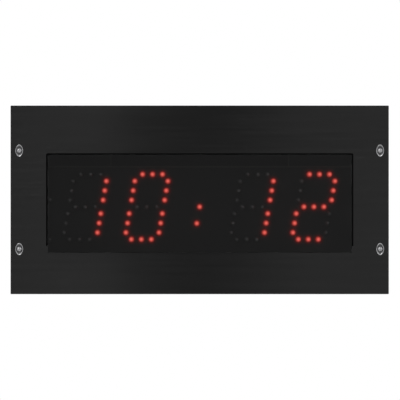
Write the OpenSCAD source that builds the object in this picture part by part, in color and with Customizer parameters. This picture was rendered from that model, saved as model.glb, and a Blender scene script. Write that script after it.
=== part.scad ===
// Flush-mounted LED clock. The front faces -Y and +Z is up.
// The origin is the middle of the mounting face: the back of the panel gasket, which bears
// on the panel or wall that the clock is let into.

/* [Digits] */
// Slant of the digits, in degrees
digit_slant = 9.8; // [0:0.1:12]
// Distance between LEDs along a level segment
led_pitch_x = 10; // [8:0.1:12]
// Distance between LEDs up an upright segment
led_pitch_z = 9.5; // [7.9:0.1:12]
// Height from a level segment to the nearest LED of an upright one
corner_step = 6.8; // [5.6:0.1:9]
// Distance between the left and right uprights of a digit
upright_gap = 33.2; // [32:0.1:40]
// Distance between the two digits of a pair
digit_gap = 61.7; // [51:0.1:80]
// Distance between the inner digits of the two pairs, across the colon
colon_gap = 105.8; // [88:0.1:140]
// Distance from the upper to the lower LED of the colon
colon_step = 16.6; // [10:0.1:24]
// Distance of the two indicator LEDs inside the lens's left side
indicator_edge = 1.6; // [0:0.1:6]
// Height of the upper indicator LED above the digits' middle
indicator_rise = 7.2; // [0:0.1:20]

/* [LEDs] */
// Diameter of an LED's dome
led_d = 5; // [3:0.1:6]
// Height of an LED above the board
led_h = 8.6; // [6:0.1:11]
// Width of the ring at an LED's foot, beyond the dome
led_flange = 0.4; // [0.2:0.1:0.5]
// Thickness of the ring at an LED's foot
led_flange_t = 1; // [0.5:0.1:1.5]
// Distance between an LED's two legs
leg_gap = 2.54; // [2:0.02:3.1]
// Width of an LED's square leg
leg_w = 0.5; // [0.4:0.05:0.6]
// Length of an LED's leg behind the board
leg_tail = 1.5; // [1:0.1:2]

/* [Lens] */
// Distance from the outermost uprights' middle to the lens's side
lens_side = 20.6; // [17:0.1:40]
// Height of the lens above the top row of LEDs
lens_above = 19.4; // [6:0.1:40]
// Height of the lens below the bottom row of LEDs
lens_below = 13.2; // [6:0.1:40]
// Distance of the lens's middle below the plate's middle
lens_drop = 3.9; // [0:0.1:8]
// Thickness of the acrylic sheet that the lens is cut from
lens_sheet_t = 6; // [5:0.1:10]
// Distance of the lens's face below the plate's face
lens_inset = 0.3; // [0:0.1:1]
// Width of the lens's hidden rim, at its sides and bottom
lens_rim = 7; // [5.8:0.1:12]
// Width of the open gap beside the lens
gap_side = 1.7; // [0.5:0.1:3]
// Height of the open gap above the lens
gap_top = 1.5; // [0.5:0.1:3]
// Height of the two shoulders that centre the lens at its lower corners
shoulder_h = 6.8; // [3:0.1:12]
// Radius of the window's upper corners
gap_corner = 2; // [0.5:0.1:4]
// Thickness of the foam gasket between the plate and the lens's rim
lens_gasket_t = 1; // [0.5:0.1:1.5]

/* [Case] */
// Thickness of the case's and the cover's steel sheet
sheet_t = 1.2; // [0.8:0.1:1.5]
// Width of the case's front and rear flanges
flange_w = 10; // [8.3:0.1:14]
// Space between the lens's rim and the case's side flanges
rim_clear = 1.2; // [0.5:0.1:4]
// Space above and below the lens's rim, where the clips step over it
clip_lane = 5.2; // [4:0.1:10]
// Distance of the rear cover's edge inside the case's outside
cover_inset = 0.5; // [0:0.1:1]
// Number of slots in each vent of the rear cover
vent_count = 9; // [3:1:10]
// Distance between vent slots
vent_pitch = 6; // [5:0.5:7]
// Width of a vent slot
vent_slot_w = 2.5; // [1.5:0.1:3]
// Length of a vent slot
vent_slot_l = 26; // [10:1:32]

/* [Front plate] */
// Thickness of the front plate
plate_t = 3; // [2.5:0.5:5]
// How far the plate reaches past the case at each side
plate_lap_x = 19; // [15.8:0.1:40]
// How far the plate reaches past the case above and below
plate_lap_z = 19.25; // [8:0.05:60]
// Radius of the front plate's corners
plate_corner = 0.8; // [0.2:0.1:8]
// Thickness of the panel gasket
panel_gasket_t = 1.5; // [1:0.1:4]
// Distance of the panel gasket's outer edge from the plate's edge
panel_gasket_inset = 2; // [1:0.1:4]
// Space between the case and the panel gasket around it
gasket_clear = 3; // [2:0.1:4]

/* [Boards] */
// Thickness of both circuit boards
board_t = 1.6; // [1:0.1:2]
// Space between the LED board and the case's side walls
board_clear = 1.3; // [0.5:0.1:2]
// Height of the LED board above the top row of LEDs
board_above = 7.7; // [4:0.1:12]
// Height of the LED board below the bottom row of LEDs
board_below = 18.4; // [12:0.1:26]
// Air gap between the lens and the tips of the LEDs
led_air = 2.3; // [1.2:0.1:10]
// Air gap between the LED board and the power module
module_air = 4.7; // [3.5:0.1:20]
// Width of the main board
main_board_w = 180; // [160:1:216]
// Height of the main board
main_board_h = 110; // [94:1:124]
// Length of the pillars between the main board and the rear cover
rear_pillar_l = 10; // [8.3:0.1:12]

/* [Fastening to the panel] */
// Distance of the panel screws from the plate's side edges
screw_edge = 8.7; // [7.2:0.1:10.5]
// Distance between the panel screws from top to bottom
screw_gap_z = 98.4; // [80:0.1:140]
// Diameter of the panel screws' thread
panel_thread_d = 3; // [2.5:0.1:3.6]
// Length of the panel screws' thread behind the mounting face
panel_thread_l = 12; // [6:1:25]
// Width of an oval washer
washer_w = 8; // [7.4:0.1:9.6]
// Height of an oval washer
washer_h = 12.4; // [11:0.1:16]
// Thickness of an oval washer
washer_t = 1.4; // [1.2:0.1:2]
// Diameter of a panel screw's head
panel_head_d = 5.4; // [4.8:0.1:6.2]

/* [Rear controls] */
// Distance a push button travels
button_travel = 1.5; // [0.5:0.1:1.8]
// Diameter of a push button's cap
button_d = 6.4; // [5:0.1:8]
// Distance between the two push buttons
button_gap = 20; // [14:0.5:24]
// Distance between the poles of a terminal plug
pole_gap = 5.08; // [5:0.01:6.2]
// Number of poles of a terminal plug
poles = 3; // [2:1:4]

/* [Hidden] */
$fn = 48;
free = 0.1;          // clearance of a part that lies in a cut-out or a hole
slip = 0.2;          // clearance around what moves or is passed through
thread_d = 3;        // all inner fasteners are M3
hex_af = 5.5;        // across the flats of M3 nuts and pillars
pan_head_d = 5.6;
pan_head_h = 2.4;

DIGITS = ["hours_tens", "hours_units", "minutes_tens", "minutes_units"];
SEGMENTS = ["a", "b", "c", "d", "e", "f", "g"];
DIGIT_X = [-colon_gap / 2 - digit_gap, -colon_gap / 2, colon_gap / 2, colon_gap / 2 + digit_gap];

// Outlines, each worked out from the one inside it
digit_half = 2 * (corner_step + led_pitch_z);
lens_w = colon_gap + 2 * digit_gap + upright_gap + 2 * lens_side;
lens_h = 2 * digit_half + lens_above + lens_below;
digits_drop = lens_drop + (lens_above - lens_below) / 2;
rim_w = lens_w + 2 * lens_rim;
rim_h = lens_h + 2 * lens_drop + 2 * lens_rim;
case_w = rim_w + 2 * (rim_clear + flange_w);
case_h = rim_h + 2 * (clip_lane + flange_w);
plate_w = case_w + 2 * plate_lap_x;
plate_h = case_h + 2 * plate_lap_z;
led_board_w = case_w - 2 * (sheet_t + board_clear);
led_board_h = 2 * digit_half + board_above + board_below;
led_board_z = (board_above - board_below) / 2 - digits_drop;
screw_gap_x = plate_w - 2 * screw_edge;

// Power module, which sets how deep the case is
module_l = 45.7;
module_w = 25.4;
module_h = 21.5;

// Depths along Y, from the front to the back
plate_back = -panel_gasket_t;
plate_front = plate_back - plate_t;
lens_front = plate_front + lens_inset;
lens_back = lens_front + lens_sheet_t;
rim_front = plate_back + lens_gasket_t;
led_tip = lens_back + led_air;
led_board_front = led_tip + led_h;
led_board_back = led_board_front + board_t;
flange_back = plate_back + sheet_t;
main_board_front = led_board_back + module_air + module_h;
main_board_back = main_board_front + board_t;
case_back = main_board_back + rear_pillar_l;
cover_back = case_back + sheet_t;

// Window
window_top = lens_h / 2 - lens_drop + gap_top;
window_bottom = -lens_h / 2 - lens_drop - free;
shoulder_top = window_bottom + shoulder_h;

// Nuts, screw heads and slots
nut_flange_d = 7;
nut_flange_t = 0.8;
nut_h = 3;
nut_wall_gap = 0.3;  // between a nut and the case's wall beside it
washer_dish = 0.8;
washer_seat = plate_front - washer_t + washer_dish;
panel_head_h = 2;
panel_slot_w = panel_thread_d + 0.6;
panel_slot_l = 8;
cross_w = 0.6;
cross_l = 3.2;
cross_depth = 1;
bite = 5;            // length of a screw's thread in what it holds

// Fastener places
side_stud_x = led_board_w / 2 - 3.1;
board_screw_edge = 8.3;
SIDE_STUDS = [for (x = [-side_stud_x, side_stud_x],
                   k = [-1, 0, 1]) [x, led_board_z + k * (led_board_h / 2 - board_screw_edge)]];
clip_stud_z = case_h / 2 - sheet_t - nut_wall_gap - nut_flange_d / 2;
clip_end = 35;
clip_stud_gap = (case_w - 2 * clip_end) / 3;
CLIP_STUDS = [for (z = [-clip_stud_z, clip_stud_z], k = [-1.5, -0.5, 0.5, 1.5]) [k * clip_stud_gap, z]];
PANEL_SCREWS = [for (x = [-1, 1], z = [-1, 1]) [x * screw_gap_x / 2, z * screw_gap_z / 2]];
main_hole_edge = 6;
MAIN_PILLARS = [for (x = [-1, 1], z = [-1, 1])
                [x * (main_board_w / 2 - main_hole_edge), z * (main_board_h / 2 - main_hole_edge)]];
cover_screw_x = case_w / 2 - flange_w / 2;
cover_screw_z = case_h / 2 - flange_w / 2;
COVER_SCREWS = concat([for (x = [-1, 0, 1], z = [-1, 1]) [x * cover_screw_x, z * cover_screw_z]],
                      [for (x = [-1, 1]) [x * cover_screw_x, 0]]);

// Clinch studs
stud_head_d = 5;
stud_head_h = 1.2;
stud_l = 7;

// Lens clips
clip_t = 1;
clip_w = 12;
clip_stand = 1.5;    // between the lens's rim and the clip's web
clip_lap = 4.5;      // of the tongue on the lens's rim

// Chips and modules
chip_h = 2.5;
chip_l = 10.3;
chip_w = 7.5;
DRIVER_X = [-colon_gap / 2 - digit_gap / 2, -colon_gap / 4, colon_gap / 4, colon_gap / 2 + digit_gap / 2];
driver_step = 17;
module_edge = 9;
module_drop = 36;
module_x = -main_board_w / 2 + module_edge + module_l / 2;
module_z = main_board_h / 2 - module_drop;
module_pin_x = module_l / 2 - 3;
module_pin_z = module_w / 2 - 5;
MODULE_PINS = [for (x = [-1, 1], z = [-1, 1]) [module_x + x * module_pin_x, module_z + z * module_pin_z]];
pin_d = 1;
capacitor_d = 10;
capacitor_h = 16;
capacitor_gap = 13;
CAPACITORS = [for (z = [-8, 8]) [module_x + module_l / 2 + capacitor_gap, module_z + z]];
processor_w = 12;
processor_h = 1.6;
processor_x = 20;
processor_z = module_z - 2;
cell_d = 20;
cell_t = 3.2;
holder_wall = 2;
holder_h = 5.6;
holder_x = 20;
holder_z = -26;

// Ribbon link: a connector on each board and a flat cable folded once between them
ribbon_edge = 28;
ribbon_x = main_board_w / 2 - ribbon_edge;
ribbon_w = 20.3;
ribbon_t = 1;
ribbon_drop = 32;
connector_w = 25;
connector_h = 9;
connector_d = 6;

// Terminals: a socket on the main board's back, and a plug in it
control_edge = 25;
control_z = -main_board_h / 2 + control_edge;
power_x = -58;
signal_x = -26;
socket_wall = 1;
socket_h = 12;
socket_floor = 3.6;
plug_w = poles * pole_gap - 0.2;
plug_key_h = 6.4;
plug_body_h = 11.4;
plug_body_l = 11;
socket_in_h = 8.6;
plug_seat = main_board_back + socket_floor + slip;
plug_shoulder = main_board_back + socket_h + slip;
entry_w = 3.2;
entry_h = 3.8;
entry_drop = 1.6;
entry_depth = 7;
terminal_screw_d = 3;
terminal_screw_h = 2;
terminal_well = 3;
pin_w = 1;
plug_pin_l = 6;

// Switches and buttons
switch_x = 6;
switch_w = 11.6;
switch_d = 9.6;
switch_h = 5.6;
hour_x = 36;
key_w = 6;
key_h = 3.6;
stem_d = 3;
stem_stop = 0.3;
stem_end = main_board_back + stem_stop + slip + button_travel;
collar_d = button_d + 2;
collar_t = 0.9;
collar_back = case_back - slip / 2;
cap_proud = 2.4;

// Vents and the rear cover
top_vent_count = 14;
top_vent_pitch = 10;
top_vent_l = 22;
vent_drop = 34;
vent_x = (main_board_w + case_w) / 4;
vent_z = case_h / 2 - flange_w - vent_drop - vent_slot_l / 2;
cover_w = case_w - 2 * cover_inset;
cover_h = case_h - 2 * cover_inset;
opening_gap = 1;     // extra width of the cover's openings for plugs and switches

function slanted(x, z) = [x + z * tan(digit_slant), z];
function level_row(z) = [for (k = [-1, 0, 1]) slanted(k * led_pitch_x, z)];
function upright_row(side, z_top) =
    [for (k = [0, 1, 2]) slanted(side * upright_gap / 2, z_top - k * led_pitch_z)];
upper_top = digit_half - corner_step;
lower_top = -corner_step;
ribbon_z = upper_top - led_pitch_z / 2 - digits_drop;
function segment_leds(s) =
    s == "a" ? level_row(digit_half) :
    s == "b" ? upright_row(1, upper_top) :
    s == "c" ? upright_row(1, lower_top) :
    s == "d" ? level_row(-digit_half) :
    s == "e" ? upright_row(-1, lower_top) :
    s == "f" ? upright_row(-1, upper_top) :
    level_row(0);
function placed(points, x) = [for (p = points) [p[0] + x, p[1] - digits_drop]];
COLON = placed([slanted(0, 0), slanted(0, -colon_step)], 0);
INDICATORS = placed([[0, indicator_rise], [0, -digit_half]], indicator_edge - lens_w / 2);
ALL_LEDS = concat([for (x = DIGIT_X, s = SEGMENTS) each placed(segment_leds(s), x)], COLON, INDICATORS);

SEGMENT_NODES = [for (d = DIGITS, s = SEGMENTS) str(d, "_", s)];

// Extrudes an outline drawn as (x, z) from depth y0 back to depth y1
module sheet(y0, y1) translate([0, y1, 0]) rotate([90, 0, 0]) linear_extrude(y1 - y0) children();

// A round bar along Y
module bar(p, y0, y1, d) translate([p[0], y0, p[1]]) rotate([-90, 0, 0]) cylinder(d = d, h = y1 - y0);

// A hexagonal bar along Y, given its width across the flats
module hex_bar(p, y0, y1, af)
    translate([p[0], y0, p[1]]) rotate([-90, 0, 0]) cylinder(d = af / cos(30), h = y1 - y0, $fn = 6);

module block(x, z, y0, y1, w, h) translate([x - w / 2, y0, z - h / 2]) cube([w, y1 - y0, h]);

module rounded(w, h, r) {
    square([w - 2 * r, h], center = true);
    square([w, h - 2 * r], center = true);
    for (x = [-1, 1], z = [-1, 1]) translate([x * (w / 2 - r), z * (h / 2 - r)]) circle(r);
}

module slot_outline(w, l) {
    square([w, l - w], center = true);
    for (z = [-1, 1]) translate([0, z * (l - w) / 2]) circle(d = w);
}

// An oval of four tangent arcs
module oval(w, h) {
    end_r = 0.3 * w;
    rise = h / 2 - end_r;
    side_r = (rise * rise + w * w / 4 - end_r * end_r) / (w - 2 * end_r);
    reach = side_r - w / 2;
    tangent_z = side_r * rise / (side_r - end_r);
    for (z = [-1, 1]) translate([0, z * rise]) circle(end_r);
    intersection() {
        translate([-reach, 0]) circle(side_r, $fn = 96);
        translate([reach, 0]) circle(side_r, $fn = 96);
        square([w, 2 * tangent_z], center = true);
    }
}

module ring(w, h, inner_w, inner_h) {
    difference() {
        square([w, h], center = true);
        square([inner_w, inner_h], center = true);
    }
}

module window_outline() {
    wide = lens_w + 2 * gap_side;
    low = lens_w + 2 * free;
    translate([-low / 2, window_bottom]) square([low, shoulder_h + gap_corner]);
    translate([-wide / 2, shoulder_top]) square([wide, window_top - gap_corner - shoulder_top]);
    translate([-wide / 2 + gap_corner, shoulder_top])
        square([wide - 2 * gap_corner, window_top - shoulder_top]);
    for (x = [-1, 1]) translate([x * (wide / 2 - gap_corner), window_top - gap_corner]) circle(gap_corner);
}

module lens_outline() translate([0, -lens_drop]) square([lens_w, lens_h], center = true);

module front_plate() color([0.16, 0.16, 0.16]) difference() {
    sheet(plate_front, plate_back) rounded(plate_w, plate_h, plate_corner);
    sheet(plate_front - 1, plate_back + 1) window_outline();
    for (p = PANEL_SCREWS)
        sheet(plate_front - 1, plate_back + 1) translate(p) slot_outline(panel_slot_w, panel_slot_l);
    for (p = concat(SIDE_STUDS, CLIP_STUDS))
        bar(p, plate_back - stud_head_h, plate_back + 1, stud_head_d + free);
}

module clinch_studs() color("silver") for (p = concat(SIDE_STUDS, CLIP_STUDS)) {
    bar(p, plate_back - stud_head_h, plate_back, stud_head_d);
    bar(p, plate_back, plate_back + stud_l, thread_d);
}

module panel_gasket() color([0.06, 0.06, 0.06]) difference() {
    outer_w = plate_w - 2 * panel_gasket_inset;
    outer_h = plate_h - 2 * panel_gasket_inset;
    sheet(plate_back, 0) ring(outer_w, outer_h, case_w + 2 * gasket_clear, case_h + 2 * gasket_clear);
    for (p = PANEL_SCREWS) bar(p, plate_back - 1, 1, panel_thread_d + 1.8);
}

module lens_gasket() color([0.03, 0.03, 0.03]) sheet(plate_back, rim_front) difference() {
    square([rim_w, rim_h], center = true);
    translate([0, -lens_drop]) square([lens_w + 2 * slip, lens_h + 2 * slip], center = true);
}

module filter_lens() color([0.1, 0.1, 0.1, 0.7]) {
    sheet(lens_front, rim_front) lens_outline();
    sheet(rim_front, lens_back) square([rim_w, rim_h], center = true);
}

// A Z clip: its foot lies on the case's flange, and its tongue bears on the lens's rim
module lens_clip(p) {
    side = sign(p[1]);
    web = rim_h / 2 + clip_stand;
    tongue = rim_h / 2 - clip_lap;
    foot_end = case_h / 2 - sheet_t - free;
    difference() {
        translate([p[0] - clip_w / 2, 0, 0]) scale([1, 1, side]) {
            translate([0, flange_back, web]) cube([clip_w, clip_t, foot_end - web]);
            translate([0, flange_back, web]) cube([clip_w, lens_back + clip_t - flange_back, clip_t]);
            translate([0, lens_back, tongue]) cube([clip_w, clip_t, web + clip_t - tongue]);
        }
        bar(p, flange_back - 1, flange_back + clip_t + 1, thread_d + 2 * slip);
    }
}

module lens_clips() color("silver") for (p = CLIP_STUDS) lens_clip(p);

module flange_nuts() color("silver") for (p = CLIP_STUDS) difference() {
    seat = flange_back + clip_t;
    union() {
        bar(p, seat, seat + nut_flange_t, nut_flange_d);
        hex_bar(p, seat + nut_flange_t, seat + nut_h, hex_af);
    }
    bar(p, seat - 1, seat + nut_h + 1, thread_d + free);
}

module panel_screws() color("silver") for (p = PANEL_SCREWS) {
    translate([p[0], washer_seat, p[1]]) rotate([90, 0, 0]) intersection() {
        cylinder(d = panel_head_d, h = panel_head_h);
        dome_r = (panel_head_h * panel_head_h + panel_head_d * panel_head_d / 4) / (2 * panel_head_h);
        translate([0, 0, panel_head_h - dome_r]) sphere(dome_r, $fn = 64);
    }
    bar(p, washer_seat, 0, panel_thread_d - 0.6);
    bar(p, 0, panel_thread_l, panel_thread_d);
}

module panel_washers() color("lightgray") for (p = PANEL_SCREWS) difference() {
    sheet(plate_front - washer_t, plate_front) translate(p) oval(washer_w, washer_h);
    bar(p, plate_front - washer_t - 1, washer_seat, panel_head_d + 2 * slip);
    bar(p, washer_seat - 1, plate_front + 1, panel_thread_d + 2 * slip);
}

module led(p) {
    dome_r = led_d / 2;
    translate([p[0], led_board_front, p[1]]) rotate([90, 0, 0]) rotate_extrude() {
        square([dome_r + led_flange, led_flange_t]);
        square([dome_r, led_h - dome_r]);
        intersection() {
            translate([0, led_h - dome_r]) circle(dome_r);
            square([dome_r, led_h]);
        }
    }
    for (x = [-1, 1])
        block(p[0] + x * leg_gap / 2, p[1], led_board_front, led_board_back + leg_tail, leg_w, leg_w);
}

module leds(points) color([0.85, 0.2, 0.17]) for (p = points) led(p);

module led_board() color([0.05, 0.05, 0.05]) difference() {
    block(0, led_board_z, led_board_front, led_board_back, led_board_w, led_board_h);
    for (p = ALL_LEDS, x = [-1, 1])
        bar(p + [x * leg_gap / 2, 0], led_board_front - 1, led_board_back + 1, leg_w * sqrt(2) + slip);
    for (p = SIDE_STUDS) bar(p, led_board_front - 1, led_board_back + 1, thread_d + 2 * slip);
}

module front_pillars() color("gold") for (p = SIDE_STUDS) difference() {
    hex_bar(p, flange_back, led_board_front, hex_af);
    bar(p, flange_back - 1, led_board_front + 1, thread_d + free);
}

// A pan-head screw whose head bears on the plane y and points along way
module pan_screw(p, y, l, way) {
    translate([p[0], y, p[1]]) rotate([-90 * way, 0, 0]) {
        difference() {
            cylinder(d = pan_head_d, h = pan_head_h);
            for (a = [0, 90])
                rotate(a) translate([-cross_l / 2, -cross_w / 2, pan_head_h - cross_depth])
                    cube([cross_l, cross_w, 2 * cross_depth]);
        }
        translate([0, 0, -l]) cylinder(d = thread_d, h = l);
    }
}

module board_screws() color("silver") {
    for (p = SIDE_STUDS) pan_screw(p, led_board_back, board_t + bite, 1);
    for (p = MAIN_PILLARS) pan_screw(p, main_board_front, board_t + rear_pillar_l / 2 - 1, -1);
}

module segment_drivers() color([0.12, 0.12, 0.13])
    for (x = DRIVER_X, z = [-1, 1])
        block(slanted(x, z * driver_step)[0], z * driver_step - digits_drop, led_board_back,
              led_board_back + chip_h, chip_w, chip_l);

module main_board() color([0.05, 0.05, 0.05]) difference() {
    block(0, 0, main_board_front, main_board_back, main_board_w, main_board_h);
    for (p = MAIN_PILLARS) bar(p, main_board_front - 1, main_board_back + 1, thread_d + 2 * slip);
    for (p = MODULE_PINS) bar(p, main_board_front - 1, main_board_back + 1, pin_d + slip);
}

module rear_pillars() color("gold") for (p = MAIN_PILLARS) difference() {
    hex_bar(p, main_board_back, case_back, hex_af);
    bar(p, main_board_back - 1, case_back + 1, thread_d + free);
}

module power_module() color([0.1, 0.1, 0.1]) {
    block(module_x, module_z, main_board_front - module_h, main_board_front, module_l, module_w);
    for (p = MODULE_PINS) bar(p, main_board_front, main_board_back + leg_tail, pin_d);
}

module smoothing_capacitors() color([0.15, 0.2, 0.35])
    for (p = CAPACITORS) bar(p, main_board_front - capacitor_h, main_board_front, capacitor_d);

module processor() color([0.1, 0.1, 0.1])
    block(processor_x, processor_z, main_board_front - processor_h, main_board_front,
          processor_w, processor_w);

module battery_holder() color([0.08, 0.08, 0.08]) difference() {
    p = [holder_x, holder_z];
    bar(p, main_board_front - holder_h, main_board_front, cell_d + 2 * free + 2 * holder_wall);
    bar(p, main_board_front - holder_h - 1, main_board_front - holder_h + cell_t + free, cell_d + 2 * free);
}

module backup_battery() color("silver")
    bar([holder_x, holder_z], main_board_front - holder_h, main_board_front - holder_h + cell_t, cell_d);

module ribbon_link() color([0.55, 0.55, 0.56]) {
    front_y = led_board_back + connector_h;
    back_y = main_board_front - connector_h;
    fold_r = (back_y - front_y) / 2 + ribbon_t;
    fold_z = ribbon_z - ribbon_drop;
    block(ribbon_x, ribbon_z, led_board_back, front_y - ribbon_t, connector_w, connector_d);
    block(ribbon_x, ribbon_z, back_y + ribbon_t, main_board_front, connector_w, connector_d);
    translate([ribbon_x - ribbon_w / 2, (front_y + back_y) / 2, fold_z])
        rotate([90, 0, 90]) linear_extrude(ribbon_w) difference() {
            union() {
                circle(fold_r);
                translate([-fold_r, 0]) square([2 * fold_r, ribbon_drop + connector_d / 2]);
            }
            circle(fold_r - ribbon_t);
            translate([-fold_r + ribbon_t, 0]) square([2 * (fold_r - ribbon_t), 2 * ribbon_drop]);
        }
}

module terminal_socket(x) {
    inner_w = plug_w + 2 * slip;
    outer_w = inner_w + 2 * socket_wall;
    outer_h = socket_in_h + 2 * socket_wall;
    difference() {
        block(x, control_z, main_board_back, main_board_back + socket_h, outer_w, outer_h);
        block(x, control_z, main_board_back + socket_floor, main_board_back + socket_h + 1,
              inner_w, socket_in_h);
    }
    for (k = [0:poles - 1])
        block(x + (k - (poles - 1) / 2) * pole_gap, control_z, main_board_back + socket_floor,
              main_board_back + socket_floor + plug_pin_l, pin_w, pin_w);
}

module terminal_sockets() color([0.1, 0.35, 0.2]) for (x = [power_x, signal_x]) terminal_socket(x);

module terminal_plug(x) {
    screw_y = plug_shoulder + plug_body_l / 2;
    screw_z = control_z + plug_body_h / 2 - terminal_well;
    difference() {
        union() {
            block(x, control_z, plug_seat, plug_shoulder, plug_w, plug_key_h);
            block(x, control_z, plug_shoulder, plug_shoulder + plug_body_l, plug_w, plug_body_h);
        }
        for (k = [0:poles - 1]) {
            pole_x = x + (k - (poles - 1) / 2) * pole_gap;
            block(pole_x, control_z, plug_seat - 1, plug_seat + plug_pin_l + slip, pin_w + 2 * slip,
                  pin_w + 2 * slip);
            block(pole_x, control_z - entry_drop, plug_shoulder + plug_body_l - entry_depth,
                  plug_shoulder + plug_body_l + 1, entry_w, entry_h);
            translate([pole_x, screw_y, screw_z])
                cylinder(d = terminal_screw_d + 2 * slip, h = terminal_well + 1);
        }
    }
    for (k = [0:poles - 1])
        translate([x + (k - (poles - 1) / 2) * pole_gap, screw_y, screw_z])
            cylinder(d = terminal_screw_d, h = terminal_screw_h);
}

module power_plug() color([0.1, 0.45, 0.25]) terminal_plug(power_x);
module signal_plug() color([0.1, 0.45, 0.25]) terminal_plug(signal_x);

// The slide-switch block, and the two key switches that the push buttons press
module setup_switches() {
    color([0.65, 0.1, 0.08])
        block(switch_x, control_z, main_board_back, main_board_back + switch_h, switch_w, switch_d);
    color([0.1, 0.1, 0.1]) for (x = [hour_x, hour_x + button_gap]) difference() {
        block(x, control_z, main_board_back, main_board_back + key_h, key_w, key_w);
        bar([x, control_z], main_board_back + stem_stop, main_board_back + key_h + 1, stem_d + 2 * slip);
    }
}

module push_button(x) {
    p = [x, control_z];
    bar(p, stem_end, collar_back - collar_t, stem_d);
    bar(p, collar_back - collar_t, collar_back, collar_d);
    bar(p, collar_back, cover_back + cap_proud, button_d);
}

module hour_button() color([0.75, 0.75, 0.74]) push_button(hour_x);
module minute_button() color([0.75, 0.75, 0.74]) push_button(hour_x + button_gap);

module rear_case() color([0.2, 0.2, 0.21]) difference() {
    sheet(plate_back, case_back) square([case_w, case_h], center = true);
    sheet(plate_back + sheet_t, case_back - sheet_t)
        square([case_w - 2 * sheet_t, case_h - 2 * sheet_t], center = true);
    sheet(plate_back - 1, case_back + 1)
        square([case_w - 2 * flange_w, case_h - 2 * flange_w], center = true);
    for (p = concat(SIDE_STUDS, CLIP_STUDS)) bar(p, plate_back - 1, flange_back + 1, thread_d + 2 * slip);
    for (p = COVER_SCREWS) bar(p, case_back - sheet_t - 1, case_back + 1, thread_d + free);
    for (k = [0:top_vent_count - 1])
        translate([(k - (top_vent_count - 1) / 2) * top_vent_pitch, (flange_back + case_back) / 2, -case_h])
            linear_extrude(2 * case_h) slot_outline(vent_slot_w, top_vent_l);
}

module rear_cover() color([0.2, 0.2, 0.21]) difference() {
    sheet(case_back, cover_back) square([cover_w, cover_h], center = true);
    for (x = [power_x, signal_x])
        sheet(case_back - 1, cover_back + 1) translate([x, control_z])
            square([plug_w + 2 * slip + 2 * socket_wall + 2 * slip,
                    max(socket_in_h + 2 * socket_wall, plug_body_h) + 2 * slip + opening_gap], center = true);
    sheet(case_back - 1, cover_back + 1) translate([switch_x, control_z])
        square([switch_w + opening_gap, switch_d + opening_gap], center = true);
    for (x = [hour_x, hour_x + button_gap])
        bar([x, control_z], case_back - 1, cover_back + 1, button_d + 2 * slip);
    for (p = concat(COVER_SCREWS, MAIN_PILLARS)) bar(p, case_back - 1, cover_back + 1, thread_d + 2 * slip);
    for (s = [-1, 1], k = [0:vent_count - 1])
        sheet(case_back - 1, cover_back + 1)
            translate([s * vent_x + (k - (vent_count - 1) / 2) * vent_pitch, vent_z])
                slot_outline(vent_slot_w, vent_slot_l);
}

module cover_screws() color("silver") {
    for (p = COVER_SCREWS) pan_screw(p, cover_back, sheet_t + bite, 1);
    for (p = MAIN_PILLARS) pan_screw(p, cover_back, sheet_t + rear_pillar_l / 2 - 1, 1);
}

front_plate();
clinch_studs();
panel_gasket();
lens_gasket();
filter_lens();
lens_clips();
flange_nuts();
panel_screws();
panel_washers();
led_board();
front_pillars();
board_screws();
segment_drivers();
main_board();
rear_pillars();
power_module();
smoothing_capacitors();
processor();
battery_holder();
backup_battery();
ribbon_link();
terminal_sockets();
power_plug();
signal_plug();
setup_switches();
hour_button();
minute_button();
rear_case();
rear_cover();
cover_screws();
leds(COLON);  // colon_leds
leds(INDICATORS);  // indicator_leds
for (i = [0:len(DIGITS) - 1], s = SEGMENTS)
    leds(placed(segment_leds(s), DIGIT_X[i]));
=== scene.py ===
# Flush-mounted LED clock with four digits of single red LEDs behind a smoked window.
# Metres. The front faces -Y, +Z is up, and the mounting face is the plane y = 0.
import math
import bmesh
import bpy
from mathutils import Matrix, Vector


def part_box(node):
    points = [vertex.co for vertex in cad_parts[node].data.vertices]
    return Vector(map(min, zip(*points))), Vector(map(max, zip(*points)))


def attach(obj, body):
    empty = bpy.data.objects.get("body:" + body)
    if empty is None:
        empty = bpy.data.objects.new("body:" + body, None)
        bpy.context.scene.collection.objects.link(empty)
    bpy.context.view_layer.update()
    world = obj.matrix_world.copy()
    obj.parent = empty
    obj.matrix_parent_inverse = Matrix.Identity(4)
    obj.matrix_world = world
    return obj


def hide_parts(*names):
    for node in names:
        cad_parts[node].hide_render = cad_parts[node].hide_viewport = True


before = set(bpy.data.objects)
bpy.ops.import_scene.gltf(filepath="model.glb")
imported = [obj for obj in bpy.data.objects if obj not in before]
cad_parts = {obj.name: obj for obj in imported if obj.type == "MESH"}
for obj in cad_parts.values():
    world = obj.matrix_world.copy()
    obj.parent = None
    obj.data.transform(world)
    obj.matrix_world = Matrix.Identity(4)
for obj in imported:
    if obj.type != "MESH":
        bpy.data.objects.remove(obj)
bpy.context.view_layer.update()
mm = 0.001

# ---- Front plate -----------------------------------------------------------------------------
# A 3 mm aluminium plate with the window and four slots cut through it. Its face is brushed from
# left to right and anodised black, so it mirrors softly: spread up and down, sharper sideways.

plate_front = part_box("front_plate")[0].y
plate_edge = 0.25 * mm
near = 0.01 * mm  # how near a face an edge has to be to count as lying in it


def linear(text):
    """A colour written as sRGB hex, as linear RGBA."""
    parts = [int(text[i:i + 2], 16) / 255 for i in (1, 3, 5)]
    return [c / 12.92 if c <= 0.04045 else ((c + 0.055) / 1.055) ** 2.4 for c in parts] + [1.0]


def add(nt, kind, inputs=None, **settings):
    """Adds a node with its settings. An input is a value, or another node's output to link."""
    node = nt.nodes.new(kind)
    for name, value in settings.items():
        setattr(node, name, value)
    for name, value in (inputs or {}).items():
        if isinstance(value, bpy.types.NodeSocket):
            nt.links.new(value, node.inputs[name])
        else:
            node.inputs[name].default_value = value
    return node


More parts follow.
